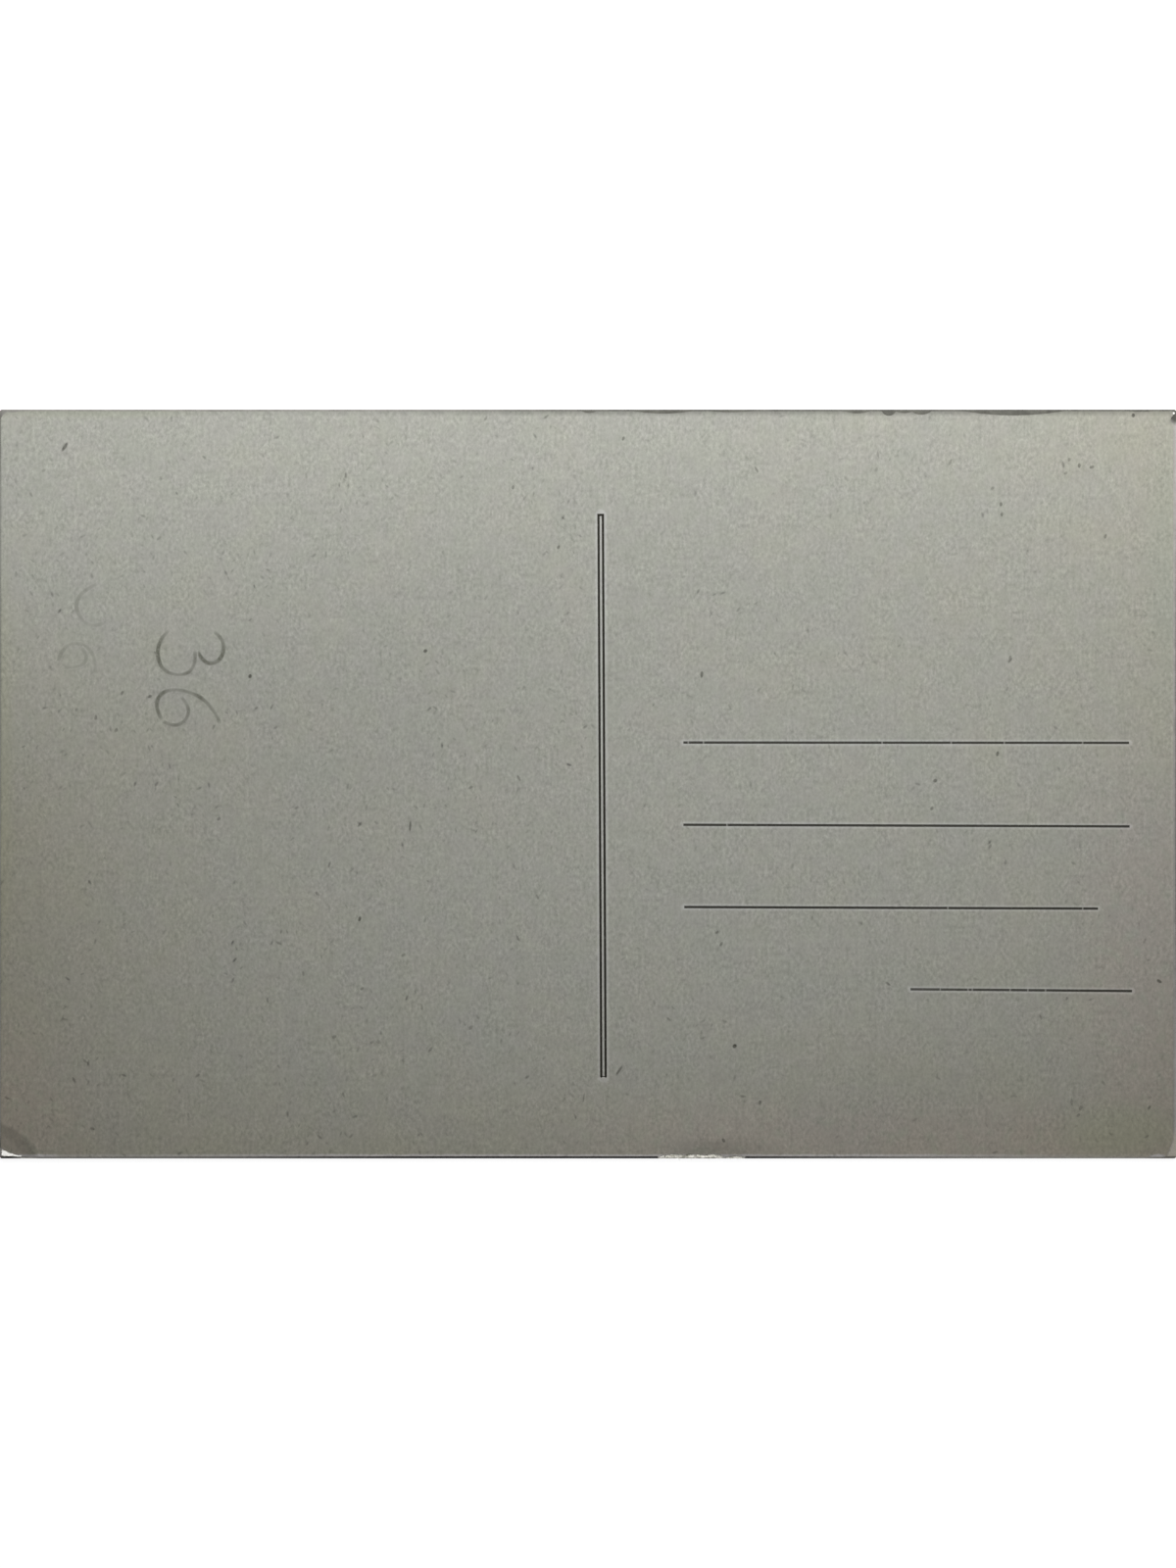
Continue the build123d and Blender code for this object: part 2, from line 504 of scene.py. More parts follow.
def edge_browning_and_shade(card):
    """How much age has browned the paper near its sides and its lower edge, and how much painted shade
    darkens it there.
    """
    # Painted shade: the left side darkens most in its lower half, the right side more towards the bottom,
    # and the lower edge all along, as the light falls off.
    strength = card.up.ramp(34, -12, 0, 0.16) * card.up.ramp(-44, -20, 0.65, 1)
    left = card.left.fading(strength, SIDE_BROWNING_AND_SHADE)
    right = card.right.fading(card.up.ramp(34, -32, 0.06, 0.175), SIDE_BROWNING_AND_SHADE)
    lower = card.lower.fading(card.across.ramp(-50, 20, 0.12, 0.135), LOWER_BROWNING_AND_SHADE)
    return left, right, lower


def edge_darkening(card):
    """Greying along the upper and left edges of the sheet, painted shade along the lower one, and rubbing
    that pales the right one.
    """
    upper = card.across.ramp(-40, 5, 0.11, 0.37) * card.across.ramp(68, 54, 0.7, 1)
    upper = card.upper.ramp(0.95, 0.2) * upper
    left = card.left.ramp(0.36, 0.16) * card.up.ramp(-20, 25, 0, 0.12)
    # Painted shade: the lower edge's dark line reaches onto the paper here.
    lower = card.lower.ramp(0.3, 0.23) * lower_shade_line(card)
    rubbed = card.up.ramp(25, 10, 0.45, 1) * card.up.ramp(-32, -16, 0, -0.13)
    return upper, left, lower, card.right.ramp(0.75, 0.5) * rubbed


def bruise_shade(card):
    """Painted shade of the knocked corner: a dark fold inside a crease, with a painted highlight along its
    ridge.
    """
    offset = card.offset((-HALF_LENGTH, -HALF_HEIGHT), (BRUISE_LENGTH, BRUISE_HEIGHT))
    wobble = card.noise(1.1) * 0.09
    reach = offset.length() * 0.75 + offset.dot((1, 1, 0)) * 0.25 + wobble
    inside = reach.ramp(1.03, 0.9)
    fold = inside * reach.ramp(0.5, 0.76)
    ridge_highlight = reach.ramp(0.99, 1.03) * reach.ramp(1.13, 1.06)
    return inside * BRUISE_SHADE + fold * FOLD_SHADE - ridge_highlight * RIDGE_SHADE


def tinge(card):
    """Lilac and olive patches, rusty corners and stains, as shares of the paper's colour."""
    patches = card.noise(0.24, roughness=0.6)
    small = card.noise(0.55, detail=1, shift=(9, 41))
    colour = (patches + small * 0.5).ramp(-0.16, 0.16).mix(OLIVE_TINGE, LILAC_TINGE)
    low_end = card.lower.ramp(9, 3) * card.left.ramp(55, 90) * card.right.ramp(0, 16)
    side = card.right.ramp(16, 4) * card.up.ramp(8, -12)
    rusty = largest(low_end, card.spot(*RUSTY_CORNER, soft=0.9), side) * small.ramp(-0.4, 0.1)
    colour = rusty.mix(colour, RUST_TINGE)
    for stains, stained in ((GREEN_STAINS, GREEN_TINGE), (YELLOW_STAINS, YELLOW_TINGE)):
        share = largest(*[card.spot(*stain, soft=0.7) for stain in stains])
        colour = share.mix(colour, stained)
    return colour


def address_paper(paper):
    """Makes the node group that gives the address paper's colour and height."""
    tree = bpy.data.node_groups.new("Address paper", "ShaderNodeTree")
    tree.interface.new_socket("Color", in_out="OUTPUT", socket_type="NodeSocketColor")
    tree.interface.new_socket("Height", in_out="OUTPUT", socket_type="NodeSocketFloat")
    card = CardFace(Recipe(tree))
    grain = fibre_grain(card)
    fibres = scattered_fibres(card)
    clouds = card.noise(0.11, roughness=0.55)
    halo = print_halo(card)

    left, right, lower = edge_browning_and_shade(card)
    browned = left + right * card.up.ramp(-10, 32, 0.45, 1.7) + lower
    warmth = (browned * 4.2 + clouds * 0.5).clamped()
    colour = warmth.mix(paper.colour, paper.aged).vector("MULTIPLY", tinge(card))
    colour = halo.mix(colour, HALO_TINGE, blend="MULTIPLY")
    colour = pale_lip(card).mix(colour, paper.lip)

    tone = 1 + grain * paper.grain + clouds * 0.06 + halo * paper.halo - fibres * paper.flecks
    patches = [card.spot(*spot, soft=1) * share for *spot, share in DARK_PATCHES]
    # Painted shade: the edges' darkening, the wide dark patches, the lower edge's shade line and the bruised
    # fold darken the tone here.
    tone = tone * remaining(left, right, lower, *edge_darkening(card), *patches, bruise_shade(card))
    ends = tree.nodes.new("NodeGroupOutput")
    card.recipe.feed(ends.inputs["Color"], tone.shade(colour))
    card.recipe.feed(ends.inputs["Height"], grain - fibres * 0.5)


def paper_look(card):
    """Colour and height of the address paper, for use in one material."""
    group = card.recipe.node("Group", node_tree=bpy.data.node_groups["Address paper"])
    return [Value(card.recipe, group.outputs[name]) for name in ("Color", "Height")]


def sheet_material(paper):
    """The bare address paper."""
    card = new_face("Aged address paper")
    return matt(card, *paper_look(card), paper.relief)


# Printed rules

# Where the type missed the paper along the rules, in millimetres across the card
RULE_BREAKS = {
    "address_rule_1": [11.9, 13.7, 34.9, 43.1, 49.4, 58.7],
    "address_rule_2": [16.5],
    "address_rule_3": [42.7, 58.7],
    "address_rule_4": [41.8, 45.1, 45.6, 50.1, 52.2, 54.3],
}
BREAK_WIDTH = 0.12
BREAK_COVER = 0.5

# How fully each rule took its ink
RULE_COVER = dict(zip(RULE_NODES, (1, 0.91, 0.935, 0.945, 0.93)))

# Where the last rule runs out of ink towards its left end, and how much is left there
STARVED_FROM = 62
STARVED_TO = 37
STARVED_COVER = 0.9


def ink_cover(card, node, printing):
    """How much of a rule's ink is left: thin in places, and broken here and there."""
    thin = card.noise(0.9, detail=3, roughness=0.7, shift=(2, 13))
    specks = card.noise(6, detail=1, shift=(7, 3))
    cover = thin.ramp(-0.34, -0.34 + printing.wear, 0.78, 1) * specks.ramp(-0.36, -0.26, 0.6, 1)
    cover = cover * RULE_COVER[node]
    if node == "address_rule_4":
        cover = cover * card.across.ramp(STARVED_FROM, STARVED_TO, 1, STARVED_COVER)
    for centre in RULE_BREAKS.get(node, []):
        cover = cover * abs(card.across - centre).ramp(0.3 * BREAK_WIDTH, BREAK_WIDTH, BREAK_COVER, 1)
    return cover


def ink_material(node, paper, printing):
    """Printing ink soaked into the address paper."""
    card = new_face(f"Printing ink {node}")
    colour, height = paper_look(card)
    inked = ink_cover(card, node, printing).mix(colour, printing.ink)
    return matt(card, inked, height, paper.relief, roughness=0.75, gloss=0.05)


# Plies under the address sheet

# Fresh pulp at the bruised corner, the dirty chip and the worn corner, in millimetres
CORNER_REACH = 5.2
DIRTY_CHIP = ((69.8, 43.3), (1.3, 0.95))
DIRTY_CHIP_SHADE = 0.75
WORN_CORNER = ((69.85, -44.45), (3.4, 3.6))


def edge_line_cover(card):
    """How much of the near-black line is painted along the lower, the left and the right cut edge; along the
    lower edge it is painted shade.
    """
    wavy = card.noise(0.5, detail=3) * 0.12
    # Painted shade: the dark line along the lower cut edge stands in for the shadow of the sheet's step.
    lower = (card.lower + wavy).ramp(0.31, 0.21) * lower_shade_line(card)
    top_end = card.up.ramp(29, 41, 0, 0.62)
    upper_side = card.up.ramp(-25, 14, 0.02, 0.345)
    lower_side = card.up.ramp(-36, -12, 0, 0.2)
    corner = card.lower.ramp(3, 1.6, 0, 0.7)
    strength = largest(top_end, upper_side, lower_side, corner) * card.upper.ramp(0.3, 1.6, 0.4, 1)
    left = (card.left + wavy).ramp(0.3, 0.2) * strength
    right = (card.right + wavy).ramp(0.27, 0.1, 0, 0.5)
    right = right * card.up.ramp(42, 12) * card.up.ramp(-40, -8)
    return largest(lower, left, right)


def pulp_colour(card, board):
    """Colour of the pulp board: grimy above, painted lighter higher up, a near-black line along the cut
    edges that is painted shade along the lower one, and fresh where torn.
    """
    ragged = card.noise(2.2, detail=3, roughness=0.65)
    mottle = card.noise(0.8, detail=3, roughness=0.7)
    # Painted light: the rim is painted lighter higher up the card and darker lower down, following the
    # light's falloff.
    painted_light_gradient = card.up.ramp(-30, 35, 0.94, 1.12)
    colour = (painted_light_gradient * (1 + mottle * 0.5)).shade(board.handled)
    upper_rim = card.upper.ramp(1.3, 1) * card.across.ramp(-25, 8, 0.58, 1)
    colour = upper_rim.mix(colour, (1 + mottle * 1.1).shade(board.grime))

    tear = inside_tear(card) * card.lower.ramp(TEAR_DEPTH + 0.3, TEAR_DEPTH)
    corner = card.left.ramp(CORNER_REACH, CORNER_REACH - 1.5) * card.lower.ramp(1.5, 1.2)
    lower_rim = card.lower.ramp(0.9, 0.6) * card.across.ramp(-70, 60, 0.35, 0.75)
    lower_rim = lower_rim * card.right.ramp(1, 4.5)
    fresh = (1 + ragged * 0.5).shade(board.pulp)
    colour = largest(tear, corner, lower_rim).mix(colour, fresh)
    worn = (1 + mottle * 0.5).shade(board.worn)
    colour = card.spot(*WORN_CORNER, soft=0.4).mix(colour, worn)
    colour = edge_line_cover(card).mix(colour, board.dark_line)
    return card.spot(*DIRTY_CHIP, soft=0.9).mix(colour, Vector(board.grime) * DIRTY_CHIP_SHADE)


def pulp_material(board):
    """Pulp board, matt and fibrous."""
    card = new_face("Pulp board")
    height = card.noise(3, detail=3, roughness=0.7)
    return matt(card, pulp_colour(card, board), height, 6e-6, roughness=0.95, gloss=0.1)


def torn_material(name, light, dark, cleanness):
    """Freshly torn pulp in clumps, with painted shade in the hollows between them."""
    card = new_face(name)
    shaded_hollow = card.noise(1.3, detail=3, roughness=0.65, stretch=(1, 1.8))
    # Painted shade: the dark colour fills the low parts of the pattern, between the clumps.
    colour = shaded_hollow.ramp(-0.18 - cleanness, 0.1 - cleanness).mix(dark, light)
    return matt(card, colour, shaded_hollow, 8e-6, roughness=0.95, gloss=0.1)


def paste_material(board):
    """Dried starch paste, a little glassy where it is thick."""
    card = new_face("Dried paste")
    brushed = card.noise(1.3, detail=3, stretch=(0.15, 1))
    return matt(card, (1 + brushed * 0.5).shade(board.paste), brushed, 4e-6, roughness=0.55, gloss=0.4)


# Picture side

HORIZON = 6
SHORE = -9
WATERLINE = SHORE + 6


def picture_paper_material(picture):
    """Smooth picture paper, toned at its edges."""
    card = new_face("Picture paper")
    grain = card.noise(2.4, detail=3, roughness=0.6)
    edges = (card.left, card.right, card.lower, card.upper)
    clean = remaining(*[distance.fading(0.16, 2.2) for distance in edges])
    colour = (clean * (1 + grain * 0.1)).shade(picture.paper)
    return matt(card, colour, grain, 1.0e-6, roughness=0.7, gloss=0.3)


def ridge(card, level, rise, spacing, shift):
    """1 below a rolling skyline, 0 above it."""
    rolling = card.noise(1 / spacing, detail=4, stretch=(1, 0), shift=(shift, 0))
    return (card.up - (rolling * rise + level)).ramp(0.35, -0.35)


def picture_material(picture):
    """A grainy sepia print of hills, a lake and trees."""
    card = new_face("Sepia print")
    clouds = card.noise(0.07, detail=4, roughness=0.55, stretch=(0.5, 1))
    colour = clouds.ramp(-0.12, 0.2).mix(picture.light, picture.paper)
    haze = Vector(picture.middle).lerp(Vector(picture.light), 0.45)
    colour = ridge(card, HORIZON + 9, 22, 46, 13).mix(colour, haze)
    slopes = card.noise(0.35, detail=4, roughness=0.6, stretch=(1, 0.5))
    near_hill = (1 + slopes * 1.2).shade(picture.middle)
    colour = ridge(card, HORIZON, 16, 30, 71).mix(colour, near_hill)
    ripples = card.noise(0.9, detail=3, stretch=(0.12, 1.6))
    lake = (0.85 + ripples * 0.7).shade(picture.light)
    colour = card.up.ramp(WATERLINE + 0.2, WATERLINE - 0.2).mix(colour, lake)
    leaves = card.noise(0.9, detail=4, roughness=0.75)
    trees = leaves.ramp(-0.15, 0.3).mix(picture.dark, picture.middle)
    colour = ridge(card, SHORE - 6, 20, 17, 5).mix(colour, trees)
    reticulation = card.noise(5, roughness=0.8)
    colour = (1 + reticulation * 0.28).shade(colour)
    return matt(card, colour, reticulation, 1.2e-6, roughness=0.5, gloss=0.35)


# Modelling

def select_only(piece):
    """Selects one piece alone and makes it active."""
    bpy.ops.object.select_all(action="DESELECT")
    piece.select_set(True)
    bpy.context.view_layer.objects.active = piece


def apply_modifier(piece, kind, **choices):
    """Adds a modifier to a piece and applies it."""
    select_only(piece)
    modifier = piece.modifiers.new(kind.title(), kind)
    for name, choice in choices.items():
        setattr(modifier, name, choice)
    bpy.ops.object.modifier_apply(modifier=modifier.name)


def apply_place(piece):
    """Puts a piece's place, turn and scale into its mesh."""
    select_only(piece)
    bpy.ops.object.transform_apply(location=True, rotation=True, scale=True)


def join(parts, name):
    """Several meshes as one piece."""
    select_only(parts[0])
    for part in parts[1:]:
        part.select_set(True)
    if len(parts) > 1:
        bpy.ops.object.join()
    piece = bpy.context.object
    piece.name = name
    piece.data.name = name
    return piece


def finish_piece(piece, material):
    """Gives a finished piece its material, and lets it ride on the card."""
    apply_place(piece)
    piece.data.materials.clear()
    piece.data.materials.append(material)
    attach(piece, BODY)


def dress(node, material):
    """Gives a node of the card its material."""
    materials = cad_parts[node].data.materials
    materials.clear()
    materials.append(material)


# Pencil

# The number reads down the card: its baseline, and where its first figure starts, in millimetres
NUMBER_BASELINE = -50.5
NUMBER_START = 18.6

# Control points of each stroke, as (along the line of writing, up from the baseline)
NUMBER_STROKES = [
    [(0.5, 6), (1.3, 7.5), (4.4, 7.5), (4.7, 4.9), (2.7, 4.1)],
    [(2.6, 3.8), (5.2, 4.2), (6.1, 1.6), (4.6, -0.8), (1.5, -0.7), (0.2, 1)],
    [(11.6, 6.9), (9, 5.9), (7.3, 3), (7.3, -0.3), (9.4, -1.1), (11.2, 0.1)],
    [(11.1, 0), (12, 1.3), (11.2, 3.2), (9.3, 3.3), (8.2, 2.1)],
]

# Strokes that have been rubbed out, in millimetres on the card
RUBBED_STROKES = [
    [(-58.1, 23.8), (-60.9, 22.6), (-61, 19.9), (-58.9, 18.3), (-57.3, 19.2)],
    [(-62.9, 14.4), (-62.4, 16.6), (-60, 17.1), (-58.3, 15.4), (-58.5, 12.9)],
    [(-60.2, 16.2), (-59.2, 15.1), (-59.9, 13.9), (-62.3, 13.8)],
]
STROKE_STEPS = 90
STROKE_BANDS = 4


def pencil_strokes(strokes, name, pencil):
    """One piece of several strokes, each a little higher than the one before."""
    ribbons = []
    for points in strokes:
        ribbons.append(pencil_stroke(points, pencil.width, pencil.height * (1 + len(ribbons))))
    return join(ribbons, name)


def pencil_stroke(points, width, height):
    """A flat ribbon bent along a smooth line with these control points."""
    bpy.ops.curve.primitive_nurbs_path_add()
    line = bpy.context.object
    line.data.dimensions = "2D"
    spline = line.data.splines[0]
    spline.points.add(max(0, len(points) - len(spline.points)))
    while len(points) < len(spline.points):
        points = points[:-1] + [tuple((a + b) / 2 for a, b in zip(points[-2], points[-1])), points[-1]]
    for control, point in zip(spline.points, points):
        control.co = (point[0] * MM, point[1] * MM, 0, 1)
    spline.order_u = 4
    spline.use_endpoint_u = True
    length = spline.calc_length()

    bpy.ops.mesh.primitive_grid_add(x_subdivisions=STROKE_STEPS, y_subdivisions=STROKE_BANDS, size=1)
    ribbon = bpy.context.object
    ribbon.scale = (length, width, 1)
    ribbon.location = (length / 2, 0, 0)
    apply_place(ribbon)
    apply_modifier(ribbon, "CURVE", object=line)
    apply_modifier(ribbon, "SOLIDIFY", thickness=height, offset=1)
    bpy.data.objects.remove(line)
    ribbon.location = (0, 0, CARD_TOP)
    apply_place(ribbon)
    return ribbon


def pencil_material(name, strength, paper, pencil):
    """Graphite on the high fibres of the paper, fading out at the sides of a stroke."""
    card = new_face(name)
    colour, height = paper_look(card)
    stroke = card.recipe.result("TexCoord", "UV")
    along = stroke.axis("X")
    off_middle = abs(stroke.axis("Y") - 0.5)
    rough = card.noise(3.4, roughness=0.7)
    press = card.noise(0.3).ramp(-0.18, 0.18, 0.5, 1)
    body = (off_middle + rough * 0.2 + (1 - press) * 0.22).ramp(0.5, 0.2)
    ends = along.ramp(0, 0.06) * along.ramp(1, 0.93)
    catch = (height + rough).ramp(-0.35, 0.25, 0.65, 1)
    drawn = (body * ends * press * catch * strength).mix(colour, pencil.graphite)
    return matt(card, drawn, height, paper.relief, roughness=0.7, gloss=0.25)


# Wood flecks

# Flecks that stand out: (x, y, length, width) in millimetres, lean from +X in degrees, and darkness
WOOD_FLECKS = [
    (-62.1, 40, 1.45, 0.46, 58, 0.68), (-40.1, 12.8, 0.6, 0.52, 80, 0.8),
    (17.4, -31.1, 0.66, 0.56, 40, 0.85), (-27.1, -16, 0.7, 0.44, 70, 0.7),
    (3.7, -34, 1.6, 0.36, 56, 0.6), (35.6, -23.7, 0.85, 0.34, -35, 0.5),
    (67.8, -23.4, 0.8, 0.44, -35, 0.75), (66.6, -38.4, 0.75, 0.36, 55, 0.55),
    (-3.5, 28.1, 0.6, 0.42, 60, 0.55), (-8.9, 35.2, 0.6, 0.4, 85, 0.5),
    (-19.3, 15.8, 0.6, 0.48, 30, 0.7), (13.5, 13, 1, 0.42, 84, 0.6),
    (-21.1, -5, 1.6, 0.3, 86, 0.6), (41.2, 0.4, 0.62, 0.52, 40, 0.62),
    (48.6, 3.6, 0.75, 0.42, 80, 0.62), (40.8, -2.9, 0.6, 0.44, 60, 0.5),
    (50.1, 14.7, 0.85, 0.36, 50, 0.55), (-43.8, -4.1, 0.6, 0.46, 45, 0.45),
    (-58.4, 7.9, 0.75, 0.42, 85, 0.45), (-56, 6.4, 0.7, 0.44, 60, 0.4),
    (-51.3, 15.5, 0.8, 0.3, -55, 0.45), (-52, 10.4, 0.62, 0.42, 30, 0.6),
    (-55.3, 10.8, 0.62, 0.4, 60, 0.5), (49, 33.2, 0.62, 0.46, 85, 0.55),
    (49.1, 32, 0.62, 0.42, 80, 0.52), (58.3, 37.8, 0.72, 0.44, 85, 0.52),
    (59.8, 37.6, 0.72, 0.44, 20, 0.48), (61.4, 29.4, 0.72, 0.42, 75, 0.5),
    (50.1, 15, 0.62, 0.36, 80, 0.4), (-8.3, -18.3, 0.95, 0.34, -60, 0.45),
    (15.3, -17.6, 0.66, 0.38, 45, 0.45), (15.8, -19, 0.75, 0.36, 60, 0.45),
    (-0.5, -37.2, 1.4, 0.26, 82, 0.4), (16.1, -42.3, 0.62, 0.44, -60, 0.55),
    (20.4, -37.8, 0.62, 0.46, 70, 0.5), (-59.3, -33.1, 0.95, 0.34, 78, 0.45),
    (-61, -35.1, 0.95, 0.34, -62, 0.45), (-58.8, -40.9, 0.66, 0.38, -20, 0.45),
    (-29, -36.9, 0.85, 0.3, -70, 0.4), (20, 37.3, 0.95, 0.32, -62, 0.45),
    (4.2, 41, 0.66, 0.4, 70, 0.55), (56.4, 37.9, 0.95, 0.38, 100, 0.42),
    (57.1, 38.5, 0.6, 0.44, 60, 0.4), (56.7, 36.9, 0.6, 0.42, 30, 0.36),
    (43, 38.2, 1.05, 0.36, 66, 0.36), (34.2, 37.3, 0.7, 0.42, 60, 0.32),
    (34.4, 39.1, 0.95, 0.34, 100, 0.3), (48, 35.1, 0.62, 0.42, 50, 0.34),
    (-67.3, 41.8, 0.7, 0.42, 60, 0.22), (-64.6, 37.2, 0.62, 0.4, 40, 0.25),
    (-56.1, 39.3, 0.8, 0.38, -10, 0.2), (-8.2, 0.7, 0.95, 0.36, -60, 0.42),
    (-27.1, -4.8, 0.9, 0.38, 50, 0.42), (-21.9, -20.3, 0.66, 0.4, 40, 0.36),
    (-19.7, -26.5, 0.9, 0.36, 100, 0.34), (-13.9, -28.9, 0.8, 0.46, 40, 0.36),
    (-18.7, -31.5, 0.9, 0.4, 50, 0.42), (-30.1, -30, 0.7, 0.44, 30, 0.42),
    (-32.1, -13, 0.8, 0.4, -40, 0.36), (-26.8, -24.3, 0.66, 0.4, 30, 0.36),
    (-33.8, -22.5, 0.75, 0.36, 100, 0.34), (-6, -13.4, 0.8, 0.34, -60, 0.36),
    (47.7, -7.4, 0.75, 0.38, 60, 0.4), (26.6, -15.9, 0.75, 0.36, 80, 0.34),
    (58.5, -38.4, 0.9, 0.42, 60, 0.36), (58.2, -39.3, 0.62, 0.42, 40, 0.38),
    (57.4, -37.7, 1.1, 0.34, 95, 0.34), (61.2, -35.5, 0.8, 0.36, -50, 0.3),
    (66.3, -41.8, 0.66, 0.4, 40, 0.34), (64.7, 43.75, 0.6, 0.48, 80, 0.8),
]
FLECK_SIDES = 14
FLECK_FADE = 0.38
FLECK_MIDDLE = 0.4
FLECK_COVER = "cover"


def copy_of(piece):
    """A copy of a piece with a mesh of its own."""
    twin = piece.copy()
    twin.data = piece.data.copy()
    bpy.context.collection.objects.link(twin)
    return twin


def model_fleck(height):
    """A wood fibre of one millimetre each way: a low mound with a thin rim."""
    bpy.ops.mesh.primitive_circle_add(vertices=FLECK_SIDES, radius=0.5 * MM, fill_type="NGON")
    fleck = bpy.context.object
    bpy.ops.object.mode_set(mode="EDIT")
    bpy.ops.mesh.select_all(action="SELECT")
    bpy.ops.mesh.inset(thickness=FLECK_FADE * 0.5 * MM, depth=height)
    bpy.ops.object.mode_set(mode="OBJECT")
    apply_modifier(fleck, "SOLIDIFY", thickness=height, offset=-1)
    fleck.data.attributes.new(FLECK_COVER, "FLOAT", "POINT")
    return fleck


def place_fleck(fleck, x, y, length, width, lean, darkness, height):
    """Sizes, turns and places one fleck, and says how dark its middle is."""
    cover = fleck.data.attributes[FLECK_COVER]
    for vertex in fleck.data.vertices:
        middle = vertex.co.xy.length < FLECK_MIDDLE * MM
        cover.data[vertex.index].value = darkness if middle else 0
    fleck.scale = (length, width, 1)
    fleck.rotation_euler = (0, 0, math.radians(lean))
    fleck.location = (x * MM, y * MM, CARD_TOP + height)
    apply_place(fleck)
    return fleck


def fleck_material(paper, wear):
    """Dark wood fibre that fades into the paper at its rim."""
    card = new_face("Wood fleck")
    colour, height = paper_look(card)
    cover = card.recipe.result("Attribute", "Fac", attribute_name=FLECK_COVER)
    ragged = card.noise(3.6, roughness=0.7)
    drawn = (cover * (1.02 + ragged * 0.8)).mix(colour, wear.fleck)
    return matt(card, drawn, height, paper.relief)


# Torn stock

# Flakes of torn pulp, in millimetres: (middle across, middle up from the lower edge, width, depth, lift)
TEAR_FLAKES = [
    (8.72, 0.33, 0.66, 0.46, 0.1), (9.85, 0.3, 1.3, 0.44, 0.07),
    (11.2, 0.31, 0.8, 0.44, 0.06), (12.15, 0.31, 0.95, 0.46, 0.08),
    (13.4, 0.36, 1, 0.5, 0.13), (14.5, 0.32, 1.4, 0.42, 0.1),
    (17.45, 0.14, 2.2, 0.24, 0.05),
]
CORNER_FLAKES = [
    (-69.25, 0.66, 0.66, 0.7, 0.2), (-68.7, 0.52, 1, 0.46, 0.16),
    (-67.85, 0.4, 1.3, 0.28, 0.12), (69.48, 88.46, 0.3, 0.24, 0.05),
]
FLAKE_STEPS = 12
FLAKE_BANDS = 4
TEAR_RAGGED = 0.05
CORNER_RAGGED = 0.02
FLAKE_ROUNDING = 0.35
FLAKE_CURL = 1.3
FLAKE_BUMPS = 0.4
FLAKE_TURN = 0.1

# Torn fibres: their shape, how they lie, and where their roots are in millimetres
FIBRE_SIDES = 4
FIBRE_CUTS = 3
FIBRE_CURL = 0.35
FIBRE_STRETCH = (0.35, 1)
FIBRE_TILT = (0.05, 0.5)
FIBRE_SPREAD = 0.9
FIBRE_ROOT_LIFT = 0.04
FIBRE_ROOT_UP = (0.15, 0.6)


def torn_flake(x, up, width, depth, lift, thickness, ragged, chance):
    """A flake of pulp, hinged at its inner edge, lifted and ragged at its outer one."""
    bpy.ops.mesh.primitive_grid_add(x_subdivisions=FLAKE_STEPS, y_subdivisions=FLAKE_BANDS, size=1)
    flake = bpy.context.object
    flake.scale = (width * MM, depth * MM, 1)
    apply_place(flake)
    for vertex in flake.data.vertices:
        out = max(0, 0.5 - vertex.co.y / (depth * MM))
        side = abs(vertex.co.x) / (0.5 * width * MM)
        vertex.co.y += chance.uniform(-ragged, ragged) * MM
        vertex.co.y *= 1 - FLAKE_ROUNDING * side**4
        vertex.co.x += chance.uniform(-ragged, ragged) * MM
        vertex.co.z = (lift * out**FLAKE_CURL + chance.uniform(0, FLAKE_BUMPS) * ragged) * MM
    apply_modifier(flake, "SOLIDIFY", thickness=thickness, offset=-1)
    apply_modifier(flake, "SUBSURF", levels=1, render_levels=1)
    flake.rotation_euler = (0, 0, chance.uniform(-FLAKE_TURN, FLAKE_TURN))
    flake.location = (x * MM, CARD_LOW.y + up * MM, CORE_TOP + thickness)
    apply_place(flake)
    return flake


def model_fibre(width, length):
    """A loose pulp fibre standing on its root, thinner and bent towards its tip."""
    bpy.ops.mesh.primitive_cone_add(vertices=FIBRE_SIDES, radius1=width / 2, radius2=width / 7, depth=length)
    fibre = bpy.context.object
    bpy.ops.object.mode_set(mode="EDIT")
    bpy.ops.mesh.select_all(action="DESELECT")
    bpy.ops.object.mode_set(mode="OBJECT")
    for edge in fibre.data.edges:
        ends = [fibre.data.vertices[index].co.z for index in edge.vertices]
        edge.select = abs(ends[0] - ends[1]) > 0.5 * length
    bpy.ops.object.mode_set(mode="EDIT")
    bpy.ops.mesh.subdivide(number_cuts=FIBRE_CUTS)
    bpy.ops.object.mode_set(mode="OBJECT")
    for vertex in fibre.data.vertices:
        share = 0.5 + vertex.co.z / length
        vertex.co.x += FIBRE_CURL * length * share**2
        vertex.co.z += 0.5 * length
    return fibre


def place_fibre(fibre, x, up, chance):
    """Lays one fibre on the board with its tip outwards, rolled its own way."""
    stretch = chance.uniform(*FIBRE_STRETCH)
    roll = chance.uniform(-math.pi, math.pi)
    flat = math.pi / 2 - chance.uniform(*FIBRE_TILT)
    heading = chance.gauss(0, FIBRE_SPREAD)
    fibre.scale = (1, 1, stretch)
    turn = Euler((flat, 0, heading)).to_matrix() @ Euler((0, 0, roll)).to_matrix()
    fibre.rotation_euler = turn.to_euler()
    fibre.location = (x * MM, CARD_LOW.y + up * MM, CORE_TOP + FIBRE_ROOT_LIFT * MM)
    apply_place(fibre)
    return fibre


# Studio

# Lamps: their places and sizes in metres
KEY_PLACE = (0.011, 0.128, 0.08)
KEY_SIZE = (0.357, 0.1)
FILL_PLACE = (0.045, -0.094, 0.15)
FILL_SIZE = (0.2, 0.2)

